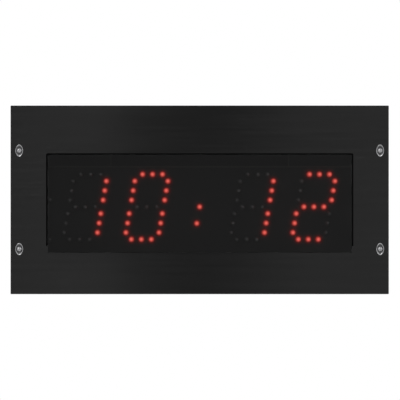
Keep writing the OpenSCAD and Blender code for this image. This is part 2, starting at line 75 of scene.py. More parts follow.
def new_material(name):
    """An empty material, its node tree, and the place on the piece in metres."""
    material = bpy.data.materials.new(name)
    material.use_nodes = True
    nt = material.node_tree
    nt.nodes.clear()
    return material, nt, add(nt, "ShaderNodeTexCoord").outputs["Object"]


def merged_copy(node):
    """A mesh like a CAD node's, with its corners joined and its flat faces made whole."""
    bm = bmesh.new()
    bm.from_mesh(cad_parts[node].data)
    bmesh.ops.remove_doubles(bm, verts=bm.verts, dist=0.001 * mm)
    bmesh.ops.dissolve_limit(bm, angle_limit=math.radians(1), verts=bm.verts, edges=bm.edges)
    return bm


def sharp_edges(bm, wanted=lambda middle: True):
    """The edges where faces meet at more than 60 degrees, and whose middle is wanted."""
    return [e for e in bm.edges if len(e.link_faces) == 2
            and e.calc_face_angle(0) > math.radians(60)
            and wanted((e.verts[0].co + e.verts[1].co) / 2)]


def round_edges(bm, edges, width, segments=2):
    """Rounds edges with a bevel that reaches width to each side."""
    bmesh.ops.bevel(bm, geom=edges, offset=width, offset_type="OFFSET", affect="EDGES",
                    segments=segments, profile=0.5, material=-1, clamp_overlap=False)


def make_piece(name, bm, materials, slot, *nodes, body="clock"):
    """Turns a bmesh into a piece that rides on a body and stands for CAD nodes."""
    crease = math.radians(38)
    for face in bm.faces:
        face.smooth = True
    for edge in bm.edges:
        edge.smooth = len(edge.link_faces) == 2 and edge.calc_face_angle(0) < crease
    mesh = bpy.data.meshes.new(name)
    bm.to_mesh(mesh)
    bm.free()
    for material in materials:
        mesh.materials.append(material)
    piece = bpy.data.objects.new(name, mesh)
    bpy.context.scene.collection.objects.link(piece)
    even = piece.modifiers.new("even_shading", "WEIGHTED_NORMAL")
    even.keep_sharp = True
    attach(piece, body)
    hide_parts(*nodes)
    return piece


bm = merged_copy("front_plate")
round_edges(bm, sharp_edges(bm, lambda p: p.y < plate_front + near), plate_edge)
brushing = bm.loops.layers.uv.new("brushing")
for face in bm.faces:
    for loop in face.loops:
        p = loop.vert.co
        loop[brushing].uv = (p.z + p.y, p.x + 0.5 * p.y)

# Black anodised aluminium, brushed: the real grain is 0.1 to 0.3 mm wide and is drawn 0.9 mm wide
# so that it shows, with softer 4 mm streaks under it. It draws a highlight out upwards.
anodised, nt, place = new_material("black_anodised_aluminium")
grain_place = add(nt, "ShaderNodeMapping", {"Vector": place, "Scale": (1 / 0.055, 1 / 0.055, 1 / 0.0009)})
grain = add(nt, "ShaderNodeTexNoise", {"Vector": grain_place.outputs[0], "Scale": 1.0, "Detail": 3.0,
                                       "Roughness": 0.6})
wide_place = add(nt, "ShaderNodeMapping", {"Vector": place, "Scale": (1 / 0.16, 1 / 0.16, 1 / 0.004)})
wide_grain = add(nt, "ShaderNodeTexNoise", {"Vector": wide_place.outputs[0], "Scale": 1.0, "Detail": 2.0})
both = add(nt, "ShaderNodeMath", {0: grain.outputs[0], 1: wide_grain.outputs[0]}, operation="ADD")
tone = add(nt, "ShaderNodeMapRange", {"Value": both.outputs[0], "From Min": 0.7, "From Max": 1.3})
# Handling marks: short fine scratches at a slant, only in a few patches
mark_place = add(nt, "ShaderNodeMapping", {"Vector": place, "Rotation": (0, 0.45, 0),
                                           "Scale": (1 / 0.016, 1 / 0.016, 1 / 0.0008)})
mark = add(nt, "ShaderNodeTexNoise", {"Vector": mark_place.outputs[0], "Scale": 1.0, "Detail": 1.0})
patch = add(nt, "ShaderNodeTexNoise", {"Vector": place, "Scale": 1 / 0.07, "Detail": 0.0})
mark_line = add(nt, "ShaderNodeMapRange", {"Value": mark.outputs[0], "From Min": 0.68, "From Max": 0.76})
mark_patch = add(nt, "ShaderNodeMapRange", {"Value": patch.outputs[0], "From Min": 0.56, "From Max": 0.62})
marks = add(nt, "ShaderNodeMath", {0: mark_line.outputs[0], 1: mark_patch.outputs[0]}, operation="MULTIPLY")
dyed = add(nt, "ShaderNodeMix", {0: tone.outputs[0], 6: linear("#2a2a2a"), 7: linear("#2f2f2f")},
           data_type="RGBA")
marked = add(nt, "ShaderNodeMix", {0: marks.outputs[0], 6: dyed.outputs[2], 7: linear("#383838")},
             data_type="RGBA")
gloss = add(nt, "ShaderNodeMapRange", {"Value": both.outputs[0], "From Min": 0.7, "From Max": 1.3,
                                       "To Min": 0.12, "To Max": 0.17})
relief = add(nt, "ShaderNodeBump", {"Height": both.outputs[0], "Strength": 0.04, "Distance": 0.1 * mm})
tangent = add(nt, "ShaderNodeTangent", direction_type="UV_MAP", uv_map="brushing")
skin = add(nt, "ShaderNodeBsdfPrincipled", {
    "Base Color": marked.outputs[2], "Metallic": 1.0, "Roughness": gloss.outputs[0],
    "Anisotropic": 1.0, "Tangent": tangent.outputs[0], "Normal": relief.outputs[0]})
add(nt, "ShaderNodeOutputMaterial", {"Surface": skin.outputs[0]})
make_piece("brushed_plate", bm, [anodised], "black_anodised_aluminium", "front_plate")

# ---- Studs, lens clips and nuts --------------------------------------------------------------
# M3 clinch studs pressed into the plate's back, Z clips folded from 1 mm sheet, and flange nuts.
# All are mild steel, barrel zinc plated: a pale, slightly mottled silver.


def plated(name, pale, dull, roughness, mottle=4 * mm):
    """Plated steel: two tones in soft blotches, and a finely tumbled surface."""
    material, nt, place = new_material(name)
    blotch = add(nt, "ShaderNodeTexNoise", {"Vector": place, "Scale": 1 / mottle, "Detail": 3.0})
    fine = add(nt, "ShaderNodeTexNoise", {"Vector": place, "Scale": 1 / (0.4 * mm), "Detail": 2.0})
    colour = add(nt, "ShaderNodeMix", {0: blotch.outputs[0], 6: linear(dull), 7: linear(pale)},
                 data_type="RGBA")
    rough = add(nt, "ShaderNodeMapRange", {"Value": fine.outputs[0], "From Min": 0.3, "From Max": 0.7,
                                           "To Min": roughness - 0.06, "To Max": roughness + 0.06})
    relief = add(nt, "ShaderNodeBump", {"Height": fine.outputs[0], "Strength": 0.08,
                                        "Distance": 0.05 * mm})
    skin = add(nt, "ShaderNodeBsdfPrincipled", {
        "Base Color": colour.outputs[2], "Metallic": 1.0, "Roughness": rough.outputs[0],
        "Normal": relief.outputs[0]})
    add(nt, "ShaderNodeOutputMaterial", {"Surface": skin.outputs[0]})
    return material


def finish_node(node, material):
    """Gives a CAD node that stays its material."""
    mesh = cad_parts[node].data
    mesh.materials.clear()
    mesh.materials.append(material)


zinc = plated("zinc_plated_steel", "#d3d6da", "#b4b7bb", 0.34)
for node in ("clinch_studs", "flange_nuts", "board_screws"):
    finish_node(node, zinc)
bm = merged_copy("lens_clips")
round_edges(bm, sharp_edges(bm), 0.12 * mm, segments=1)
make_piece("folded_clips", bm, [zinc], "zinc_plated_steel", "lens_clips")

# ---- Gaskets ---------------------------------------------------------------------------------
# Closed-cell foam rubber, die cut: one ring behind the plate, one between the plate and the
# lens's rim. Matt black, with fine cells at the surface.

foam, nt, place = new_material("black_foam_rubber")
cells = add(nt, "ShaderNodeTexVoronoi", {"Vector": place, "Scale": 1 / (0.7 * mm)})
shade = add(nt, "ShaderNodeMix", {0: cells.outputs["Distance"], 6: linear("#0a0a0a"), 7: linear("#141414")},
            data_type="RGBA")
relief = add(nt, "ShaderNodeBump", {"Height": cells.outputs["Distance"], "Strength": 0.5,
                                    "Distance": 0.2 * mm})
skin = add(nt, "ShaderNodeBsdfPrincipled", {
    "Base Color": shade.outputs[2], "Roughness": 0.92, "Specular IOR Level": 0.1,
    "Normal": relief.outputs[0]})
add(nt, "ShaderNodeOutputMaterial", {"Surface": skin.outputs[0]})
bm = merged_copy("panel_gasket")
round_edges(bm, sharp_edges(bm), 0.3 * mm)
make_piece("panel_foam", bm, [foam], "black_foam_rubber", "panel_gasket")
finish_node("lens_gasket", foam)

# ---- Lens ------------------------------------------------------------------------------------
# Laser cut from 6 mm smoked acrylic with a rebated rim, its edges flame polished. Each face passes
# half the light, so the lens lets a quarter through, and it mirrors like glass.

bm = merged_copy("filter_lens")
round_edges(bm, sharp_edges(bm), 0.3 * mm, segments=3)
smoked, nt, place = new_material("smoked_acrylic")
haze = add(nt, "ShaderNodeTexNoise", {"Vector": place, "Scale": 1 / 0.03, "Detail": 4.0})
haze_rough = add(nt, "ShaderNodeMapRange", {"Value": haze.outputs[0], "From Min": 0.35, "From Max": 0.7,
                                            "To Min": 0.0, "To Max": 0.05})
tint = add(nt, "ShaderNodeBsdfTransparent", {"Color": linear("#bcbcbc")})
mirror = add(nt, "ShaderNodeBsdfGlossy", {"Color": (1, 1, 1, 1), "Roughness": haze_rough.outputs[0]})
fresnel = add(nt, "ShaderNodeFresnel", {"IOR": 1.49})
facing = add(nt, "ShaderNodeNewGeometry")
outside = add(nt, "ShaderNodeMath", {0: 1.0, 1: facing.outputs["Backfacing"]}, operation="SUBTRACT")
share = add(nt, "ShaderNodeMath", {0: fresnel.outputs[0], 1: outside.outputs[0]}, operation="MULTIPLY")
pane = add(nt, "ShaderNodeMixShader", {0: share.outputs[0], 1: tint.outputs[0], 2: mirror.outputs[0]})
add(nt, "ShaderNodeOutputMaterial", {"Surface": pane.outputs[0]})
make_piece("smoked_window", bm, [smoked], "smoked_acrylic", "filter_lens")

# ---- Panel washers and screws ----------------------------------------------------------------
# Four oval dished washers, pressed from stainless steel with a rolled rim, and the M3 stainless
# screws that go through them into the panel: domed heads with a cross recess.

washer_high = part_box("panel_washers")[1]
head_low, head_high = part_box("panel_screws")
washer_w = 8 * mm
washer_h = 12.4 * mm
screw_x = washer_high.x - washer_w / 2
screw_z = washer_high.z - washer_h / 2
screw_places = [(x * screw_x, z * screw_z) for x in (-1, 1) for z in (-1, 1)]
seat = 0.6 * mm  # from the plate's face to the floor of the dish, where the head sits
# The washer's section, from its foot over the rolled rim and down the dish to the round hole:
# half width, half height and rise in millimetres, and how pointed its ends are
washer_rings = ((4.0, 6.2, 0.0, 1.12), (4.0, 6.2, 0.75, 1.12), (3.86, 6.05, 1.2, 1.12),
                (3.58, 5.72, 1.4, 1.12), (3.24, 5.3, 1.3, 1.12), (3.04, 4.9, 0.95, 1.1),
                (2.9, 4.2, 0.68, 1.05), (2.78, 3.1, 0.6, 1.0), (1.7, 1.7, 0.6, 1.0), (1.7, 1.7, 0.0, 1.0))


def copies(template, places, y):
    """A bmesh that holds a template mesh once at each (x, z) place."""
    bm = bmesh.new()
    for x, z in places:
        known = len(bm.verts)
        bm.from_mesh(template)
        bm.verts.ensure_lookup_table()
        bmesh.ops.translate(bm, verts=bm.verts[known:], vec=(x, y, z))
    return bm


def as_template(name, bm):
    """The mesh of a closed shape, its faces turned outwards."""
    bmesh.ops.remove_doubles(bm, verts=bm.verts, dist=0.002 * mm)
    bmesh.ops.recalc_face_normals(bm, faces=bm.faces)
    mesh = bpy.data.meshes.new(name)
    bm.to_mesh(mesh)
    bm.free()
    return mesh


bm = bmesh.new()
loops = []
for half_w, half_h, rise, point in washer_rings:
    ring = bmesh.ops.create_circle(bm, segments=48, radius=1.0)["verts"]
    for v in ring:
        x = math.copysign(abs(v.co.x) ** point, v.co.x)
        z = math.copysign(abs(v.co.y) ** point, v.co.y)
        v.co = (x * half_w * mm, -rise * mm, z * half_h * mm)
    loops.append(list({e for v in ring for e in v.link_edges}))
for one, other in zip(loops, loops[1:] + loops[:1]):
    bmesh.ops.bridge_loops(bm, edges=one + other)
washer = as_template("washer_shape", bm)

# Satin stainless steel with painted shade: a darker colour low in the dish and low on the heads, where the
# recess lies in shade, and lighter on the rims and the tops of the heads
dish_shade_from = plate_front - 0.7 * mm
dish_shade_to = plate_front - 1.35 * mm
satin, nt, place = new_material("stainless_steel")
axes = add(nt, "ShaderNodeSeparateXYZ", {0: place})
clear_of_dish_shade = add(nt, "ShaderNodeMapRange", {"Value": axes.outputs[1], "From Min": dish_shade_from,
                                        "From Max": dish_shade_to}, interpolation_type="SMOOTHSTEP")
fine = add(nt, "ShaderNodeTexNoise", {"Vector": place, "Scale": 1 / (0.6 * mm), "Detail": 3.0})
bright = add(nt, "ShaderNodeMix", {0: fine.outputs[0], 6: linear("#8a8a8b"), 7: linear("#a2a2a4")},
             data_type="RGBA")
# Painted shade: the dark grey where the surface lies low in the dish
colour = add(nt, "ShaderNodeMix", {0: clear_of_dish_shade.outputs[0], 6: linear("#4a4a4b"), 7: bright.outputs[2]},
             data_type="RGBA")
rough = add(nt, "ShaderNodeMapRange", {"Value": fine.outputs[0], "From Min": 0.3, "From Max": 0.7,
                                       "To Min": 0.3, "To Max": 0.42})
relief = add(nt, "ShaderNodeBump", {"Height": fine.outputs[0], "Strength": 0.1, "Distance": 0.05 * mm})
skin = add(nt, "ShaderNodeBsdfPrincipled", {
    "Base Color": colour.outputs[2], "Metallic": 1.0, "Roughness": rough.outputs[0],
    "Normal": relief.outputs[0]})
add(nt, "ShaderNodeOutputMaterial", {"Surface": skin.outputs[0]})
make_piece("oval_washers", copies(washer, screw_places, plate_front), [satin],
           "stainless_steel", "panel_washers")


def turned(bm, profile, steps=32):
    """Turns a profile of (radius, y) pairs, in millimetres, about Y, and returns its vertices."""
    old = set(bm.verts)
    points = [bm.verts.new((r * mm, y * mm, 0)) for r, y in profile]
    lines = [bm.edges.new(pair) for pair in zip(points, points[1:])]
    bmesh.ops.spin(bm, geom=points + lines, cent=(0, 0, 0), axis=(0, 1, 0), dvec=(0, 0, 0),
                   angle=2 * math.pi, steps=steps, use_merge=True, use_duplicate=False)
    return [v for v in bm.verts if v not in old]


def dome(radius, rise, base, rings=12):
    """The section of a domed head: a flat base at y = base, rising towards -Y."""
    ball = (rise * rise + radius * radius) / (2 * rise)
    radii = [radius * (1 - k / rings) for k in range(rings + 1)]
    return [(r, base - rise + ball - math.sqrt(ball * ball - r * r)) for r in radii]


def thread(radius, start, end, pitch=0.5, depth=0.3):
    """The section of a thread, as ridges one pitch apart, chamfered at its tip."""
    turns = int((end - start) / pitch)
    ridges = [[(radius, start + (k + 0.5) * pitch), (radius - depth, start + (k + 1) * pitch)]
              for k in range(turns - 1)]
    return [p for ridge in ridges for p in ridge] + [(radius - depth, end), (0, end)]


def cross_recess(bm, top_y, half_length, half_width, depth):
    """Presses a cross into the middle of a head whose top is at y = top_y."""
    for v in bm.verts:
        across, along = sorted((abs(v.co.x), abs(v.co.z)))
        if v.co.y < top_y + 1.0 * mm and across < half_width and along < half_length:
            v.co.y += depth * (1 - (along / half_length) ** 2)


# The screw's radii, and the cross in its head, in millimetres
head_r = 2.7
shank_r = 1.2
thread_r = 1.5
cross_half_l = 1.5
cross_half_w = 0.38
cross_deep = 0.9
bm = bmesh.new()
base = -seat / mm
top = (head_low.y - plate_front) / mm
panel_face = -plate_front / mm
rod_end = (head_high.y - plate_front) / mm
shank = [(shank_r, base), (shank_r, panel_face)]
turned(bm, dome(head_r, base - top, base)[::-1] + shank + thread(thread_r, panel_face, rod_end), 48)
cross_recess(bm, top * mm, cross_half_l * mm, cross_half_w * mm, cross_deep * mm)
screw = as_template("panel_screw_shape", bm)
make_piece("domed_panel_screws", copies(screw, screw_places, plate_front), [satin],
           "stainless_steel", "panel_screws")

# ---- LED board -------------------------------------------------------------------------------
# Glass-fibre board under matt black solder mask, 1.6 mm thick. The mask stops 0.4 mm short of the
# routed edge, where the paler laminate shows. Hex pillars and M3 screws carry it.

board_low, board_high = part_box("led_board")
mask_stop = 0.4 * mm


def masked_board(name, mask, copper, laminate, low, high, roughness, painted_red_glow=False):
    """Solder mask over tracks on a woven laminate, with the bare laminate at the routed edges."""
    material, nt, place = new_material(name)
    middle = (low + high) / 2
    half = (high - low) / 2
    centred = add(nt, "ShaderNodeMapping", {"Vector": place, "Location": [-c for c in middle]})
    axes = add(nt, "ShaderNodeSeparateXYZ", {0: centred.outputs[0]})
    sides = []
    for axis, reach in ((0, half.x), (2, half.z)):
        size = add(nt, "ShaderNodeMath", {0: axes.outputs[axis]}, operation="ABSOLUTE")
        sides.append(add(nt, "ShaderNodeMath", {0: size.outputs[0], 1: reach - mask_stop},
                         operation="GREATER_THAN").outputs[0])
    bare = add(nt, "ShaderNodeMath", {0: sides[0], 1: sides[1]}, operation="MAXIMUM")
    # Tracks run level and upright on a 2.5 mm grid
    turn = add(nt, "ShaderNodeMapping", {"Vector": place, "Rotation": (math.pi / 2, 0, 0)})
    tracks = add(nt, "ShaderNodeTexBrick", {
        "Vector": turn.outputs[0], "Scale": 1.0, "Mortar Size": 0.35 * mm, "Mortar Smooth": 0.1,
        "Brick Width": 22 * mm, "Row Height": 2.5 * mm, "Color1": (0, 0, 0, 1), "Color2": (0, 0, 0, 1),
        "Mortar": (1, 1, 1, 1)}, offset=0.37)
    weave = add(nt, "ShaderNodeTexVoronoi", {"Vector": place, "Scale": 1 / (0.6 * mm)},
                distance="MANHATTAN")
    tracked = add(nt, "ShaderNodeMix", {0: tracks.outputs["Color"], 6: linear(mask), 7: linear(copper)},
                  data_type="RGBA")
    colour = add(nt, "ShaderNodeMix", {0: bare.outputs[0], 6: tracked.outputs[2], 7: linear(laminate)},
                 data_type="RGBA")
    lift = add(nt, "ShaderNodeMath", {0: tracks.outputs["Fac"], 1: weave.outputs["Distance"]},
               operation="ADD")
    relief = add(nt, "ShaderNodeBump", {"Height": lift.outputs[0], "Strength": 0.25,
                                        "Distance": 0.04 * mm})
    skin = add(nt, "ShaderNodeBsdfPrincipled", {
        "Base Color": colour.outputs[2], "Roughness": roughness, "Specular IOR Level": 0.2,
        "Normal": relief.outputs[0]})
    # Painted light: the red light that the lit LEDs spill on the mask, given off by the mask itself as a glow
    if painted_red_glow:
        amount = add(nt, "ShaderNodeAttribute", attribute_name="spill")
        red = add(nt, "ShaderNodeMix", {0: amount.outputs["Fac"], 6: (0, 0, 0, 1),
                                        7: (0.35, 0.004, 0.002, 1)}, data_type="RGBA", clamp_factor=False)
        nt.links.new(red.outputs[2], skin.inputs["Emission Color"])
        skin.inputs["Emission Strength"].default_value = 1.0
    add(nt, "ShaderNodeOutputMaterial", {"Surface": skin.outputs[0]})
    return material


# The board is a slab whose face is a 1 mm grid, so that each point can hold how much red light the lit LEDs
# spill on it; the mask gives that out as a painted red glow.
led_foot_r = 2.9
digits = ("hours_tens", "hours_units", "minutes_tens", "minutes_units")
shown = {"hours_tens": "bc", "hours_units": "abcdef", "minutes_tens": "bc", "minutes_units": "abged"}
rows = [("%s_%s" % (digit, s), 3, s in shown[digit]) for digit in digits for s in "abcdefg"]
rows += [("colon_leds", 2, True), ("indicator_leds", 2, False)]


def led_places(node, count):
    """The (x, z) middles of a straight row of LEDs, from the box around their feet."""
    low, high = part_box(node)
    foot = led_foot_r * mm
    return [(low.x + foot + (high.x - low.x - 2 * foot) * k / (count - 1),
             low.z + foot + (high.z - low.z - 2 * foot) * k / (count - 1)) for k in range(count)]


spill_reach = 8 * mm
spill_fade = 0.85 * mm
board_size = board_high - board_low
board_middle = (board_low + board_high) / 2
bm = bmesh.new()
bmesh.ops.create_grid(bm, x_segments=round(board_size.x / mm), y_segments=round(board_size.z / mm), size=0.5)
bmesh.ops.scale(bm, verts=bm.verts, vec=(board_size.x, board_size.z, 1))
bmesh.ops.rotate(bm, verts=bm.verts, matrix=Matrix.Rotation(math.pi / 2, 3, "X"))
bmesh.ops.translate(bm, verts=bm.verts, vec=(board_middle.x, board_low.y, board_middle.z))
spill = bm.verts.layers.float.new("spill")
lit_places = [place for node, count, on in rows if on for place in led_places(node, count)]
for v in bm.verts:
    for x, z in lit_places:
        if abs(v.co.x - x) < spill_reach and abs(v.co.z - z) < spill_reach:
            away = math.hypot(v.co.x - x, v.co.z - z) - led_foot_r * mm
            v[spill] += math.exp(-max(away, 0) / spill_fade)
rim = [e for e in bm.edges if e.is_boundary]
back = [g for g in bmesh.ops.extrude_edge_only(bm, edges=rim)["geom"] if isinstance(g, bmesh.types.BMVert)]
bmesh.ops.translate(bm, verts=back, vec=(0, board_size.y, 0))
bmesh.ops.edgeloop_fill(bm, edges=[e for e in bm.edges if e.is_boundary])
bmesh.ops.recalc_face_normals(bm, faces=bm.faces)
black_board = masked_board("black_circuit_board", "#181818", "#1c1c1c", "#828276", board_low, board_high,
                           0.55, painted_red_glow=True)
make_piece("led_board_slab", bm, [black_board], "black_circuit_board", "led_board")
nickel = plated("nickel_plated_brass", "#cfcabb", "#b3ad9c", 0.25)
finish_node("front_pillars", nickel)


def moulded(name, light, dark, roughness, grain=0.5 * mm):
    """Moulded plastic: nearly one tone, with flow shading and a fine eroded grain."""
    material, nt, place = new_material(name)
    flow = add(nt, "ShaderNodeTexNoise", {"Vector": place, "Scale": 1 / (9 * mm), "Detail": 2.0})
    fine = add(nt, "ShaderNodeTexNoise", {"Vector": place, "Scale": 1 / grain, "Detail": 3.0})
    colour = add(nt, "ShaderNodeMix", {0: flow.outputs[0], 6: linear(dark), 7: linear(light)},
                 data_type="RGBA")
    rough = add(nt, "ShaderNodeMapRange", {"Value": flow.outputs[0], "From Min": 0.3, "From Max": 0.7,
                                           "To Min": roughness - 0.05, "To Max": roughness + 0.05})
    relief = add(nt, "ShaderNodeBump", {"Height": fine.outputs[0], "Strength": 0.15,
                                        "Distance": 0.05 * mm})
    skin = add(nt, "ShaderNodeBsdfPrincipled", {
        "Base Color": colour.outputs[2], "Roughness": rough.outputs[0], "Normal": relief.outputs[0]})
    add(nt, "ShaderNodeOutputMaterial", {"Surface": skin.outputs[0]})
    return material


chip = moulded("chip_epoxy", "#1d1d1f", "#141415", 0.6, 0.3 * mm)
finish_node("segment_drivers", chip)

# ---- LEDs ------------------------------------------------------------------------------------
# 5 mm round LEDs, water-clear epoxy cast over a lead frame, soldered through the board. Lit ones
# glow red from the cup in their middle; in unlit ones only the grey cup shows.

led_low, led_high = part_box("colon_leds")
led_h = (board_low.y - led_low.y) / mm
legs_end = led_high.y - board_low.y
board_back = board_size.y / mm
dome_r = 2.5
foot_t = 1.0
flat_x = 2.55 * mm
leg_w = 0.5 * mm
leg_x = 1.27 * mm
bm = bmesh.new()
arc = [t * math.pi / 16 for t in range(9)]
ball = [(dome_r * math.cos(a), -led_h + dome_r - dome_r * math.sin(a)) for a in arc]
turned(bm, [(0, 0), (led_foot_r, 0), (led_foot_r, 0.2 - foot_t), (led_foot_r - 0.15, -foot_t),
            (dome_r, -foot_t)] + ball, 24)
# The flat that marks the cathode's side of the foot
for v in bm.verts:
    if v.co.x > flat_x:
        v.co.x = flat_x
bmesh.ops.remove_doubles(bm, verts=bm.verts, dist=0.002 * mm)
body_faces = set(bm.faces)
from_axis = bm.verts.layers.float.new("from_axis")
for v in bm.verts:
    v[from_axis] = math.hypot(v.co.x, v.co.z) / mm
for side in (-1, 1):
    leg = bmesh.ops.create_cube(bm, size=1.0)["verts"]
    bmesh.ops.scale(bm, verts=leg, vec=(leg_w, legs_end, leg_w))
    bmesh.ops.translate(bm, verts=leg, vec=(side * leg_x, legs_end / 2, 0))
    joint = turned(bm, [(0, board_back), (0.85, board_back), (0.7, board_back + 0.15),
                        (0.4, board_back + 0.6), (0.3, board_back + 1.1), (0, board_back + 1.15)], 12)
    bmesh.ops.translate(bm, verts=joint, vec=(side * leg_x, 0, 0))
for face in bm.faces:
    face.material_index = 0 if face in body_faces else 1
led = as_template("led_shape", bm)

# Lit epoxy: brightest over the chip in the middle, deep red at the rim of the dome
lit_epoxy, nt, place = new_material("lit_red_led")
axis_distance = add(nt, "ShaderNodeAttribute", attribute_name="from_axis")
core = add(nt, "ShaderNodeMapRange", {"Value": axis_distance.outputs["Fac"], "From Min": 0.7,
                                      "From Max": 2.15, "To Min": 1.0, "To Max": 0.0},
           interpolation_type="SMOOTHSTEP")
foot = add(nt, "ShaderNodeMapRange", {"Value": axis_distance.outputs["Fac"], "From Min": 2.2,
                                      "From Max": 2.9})
dome_colour = add(nt, "ShaderNodeMix", {0: core.outputs[0], 6: (1.25, 0.12, 0.09, 1),
                                        7: (3.1, 0.45, 0.35, 1)}, data_type="RGBA")
glow_colour = add(nt, "ShaderNodeMix", {0: foot.outputs[0], 6: dome_colour.outputs[2],
                                        7: (0.4, 0.012, 0.008, 1)}, data_type="RGBA")
skin = add(nt, "ShaderNodeBsdfPrincipled", {
    "Base Color": linear("#5a1512"), "Roughness": 0.35, "IOR": 1.55, "Specular IOR Level": 0.25,
    "Emission Color": glow_colour.outputs[2], "Emission Strength": 1.0})
add(nt, "ShaderNodeOutputMaterial", {"Surface": skin.outputs[0]})

# Unlit epoxy: the grey reflector cup magnified in the middle, and dark clear resin around it
clear_epoxy, nt, place = new_material("clear_led")
axis_distance = add(nt, "ShaderNodeAttribute", attribute_name="from_axis")
cup = add(nt, "ShaderNodeMapRange", {"Value": axis_distance.outputs["Fac"], "From Min": 0.4,
                                     "From Max": 2.0, "To Min": 1.0, "To Max": 0.0},
          interpolation_type="SMOOTHSTEP")
cup_colour = add(nt, "ShaderNodeMix", {0: cup.outputs[0], 6: linear("#1c1c1d"), 7: linear("#9c9c9d")},
                 data_type="RGBA")
skin = add(nt, "ShaderNodeBsdfPrincipled", {
    "Base Color": cup_colour.outputs[2], "Roughness": 0.35, "IOR": 1.55})
add(nt, "ShaderNodeOutputMaterial", {"Surface": skin.outputs[0]})

solder = plated("tinned_leads_and_solder", "#c6c8cc", "#a3a6ab", 0.3, 1 * mm)
for node, count, on in rows:
    epoxy, slot = (lit_epoxy, "lit_red_led") if on else (clear_epoxy, "clear_led")
    make_piece("lamps_" + node, copies(led, led_places(node, count), board_low.y), [epoxy, solder],
               slot, node)

# ---- Main board and what it carries ----------------------------------------------------------
# A second black board, with the mains power module, two smoothing capacitors, the processor and
# the coin cell that keeps the time. Chips and modules are moulded in black epoxy.

main_low, main_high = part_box("main_board")
main_mask = masked_board("black_main_board", "#181818", "#1c1c1c", "#828276", main_low, main_high, 0.5)
finish_node("main_board", main_mask)
finish_node("rear_pillars", nickel)
for node in ("power_module", "processor"):
    finish_node(node, chip)
finish_node("battery_holder", moulded("black_nylon", "#1b1b1b", "#131313", 0.5))
finish_node("backup_battery", plated("coin_cell_steel", "#c9c9ca", "#b0b0b2", 0.2, 3 * mm))

# A shrunk vinyl sleeve, with the bare aluminium can showing in the middle of the top
can_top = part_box("smoothing_capacitors")[0].y + 0.05 * mm
sleeve, nt, place = new_material("capacitor_sleeve")
axes = add(nt, "ShaderNodeSeparateXYZ", {0: place})
top_face = add(nt, "ShaderNodeMath", {0: axes.outputs[1], 1: can_top}, operation="LESS_THAN")
fleck = add(nt, "ShaderNodeTexNoise", {"Vector": place, "Scale": 1 / (1.5 * mm), "Detail": 2.0})
vinyl = add(nt, "ShaderNodeMix", {0: fleck.outputs[0], 6: linear("#1b2742"), 7: linear("#24345a")},
            data_type="RGBA")
colour = add(nt, "ShaderNodeMix", {0: top_face.outputs[0], 6: vinyl.outputs[2], 7: linear("#c4c6c8")},
             data_type="RGBA")
skin = add(nt, "ShaderNodeBsdfPrincipled", {
    "Base Color": colour.outputs[2], "Metallic": top_face.outputs[0], "Roughness": 0.3})
add(nt, "ShaderNodeOutputMaterial", {"Surface": skin.outputs[0]})
finish_node("smoothing_capacitors", sleeve)

# ---- Ribbon link -----------------------------------------------------------------------------
# Sixteen-way grey vinyl ribbon, folded once between the boards, with a red first wire and a black
# nylon connector pressed onto each end.

link_low, link_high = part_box("ribbon_link")
ribbon_w = 20.3 * mm
ribbon_low_x = (link_low.x + link_high.x) / 2 - ribbon_w / 2
wire_pitch = 1.27 * mm
connector_low_z = link_high.z - 6 * mm
ribbon, nt, place = new_material("grey_ribbon")
axes = add(nt, "ShaderNodeSeparateXYZ", {0: place})
wires = add(nt, "ShaderNodeMath", {0: axes.outputs[0], 1: 2 * math.pi / wire_pitch}, operation="MULTIPLY")
ridge = add(nt, "ShaderNodeMath", {0: wires.outputs[0]}, operation="SINE")
first_wire = add(nt, "ShaderNodeMath", {0: axes.outputs[0], 1: ribbon_low_x + wire_pitch},
                 operation="LESS_THAN")
vinyl = add(nt, "ShaderNodeMix", {0: first_wire.outputs[0], 6: linear("#9b9c9e"), 7: linear("#a3302a")},
            data_type="RGBA")
at_end = add(nt, "ShaderNodeMath", {0: axes.outputs[2], 1: connector_low_z - 0.05 * mm},
             operation="GREATER_THAN")
colour = add(nt, "ShaderNodeMix", {0: at_end.outputs[0], 6: vinyl.outputs[2], 7: linear("#1a1a1a")},
             data_type="RGBA")
relief = add(nt, "ShaderNodeBump", {"Height": ridge.outputs[0], "Strength": 0.5, "Distance": 0.2 * mm})
skin = add(nt, "ShaderNodeBsdfPrincipled", {
    "Base Color": colour.outputs[2], "Roughness": 0.45, "Normal": relief.outputs[0]})
add(nt, "ShaderNodeOutputMaterial", {"Surface": skin.outputs[0]})
finish_node("ribbon_link", ribbon)

# ---- Terminals -------------------------------------------------------------------------------
# Pluggable screw terminals for the supply and the time signal, moulded in green polyamide. Each
# plug has a wire entry in its back and a zinc-plated screw in its top for every pole.


def islands(bm):
    """The separate shells of a mesh, each as a list of faces."""
    left = set(bm.faces)
    found = []
    while left:
        shell = [left.pop()]
        for face in shell:
            for edge in face.edges:
                for other in edge.link_faces:
                    if other in left:
                        left.remove(other)
                        shell.append(other)
        found.append(shell)
    return found


def box_of(shell):
    """The low and high corners of the box around a shell."""
    points = [v.co for face in shell for v in face.verts]
    return [Vector([pick(p[i] for p in points) for i in range(3)]) for pick in (min, max)]


green_plastic = moulded("green_polyamide", "#2f8f52", "#287c47", 0.45)
pole_gap = 5.08 * mm
pin_reach = 0.6 * mm


def near_pole(point, middle, reach):
    """True close to the upright line through one of the three poles beside a plug's middle."""
    return any(abs(point.x - middle.x - k * pole_gap) < reach for k in (-1, 0, 1))


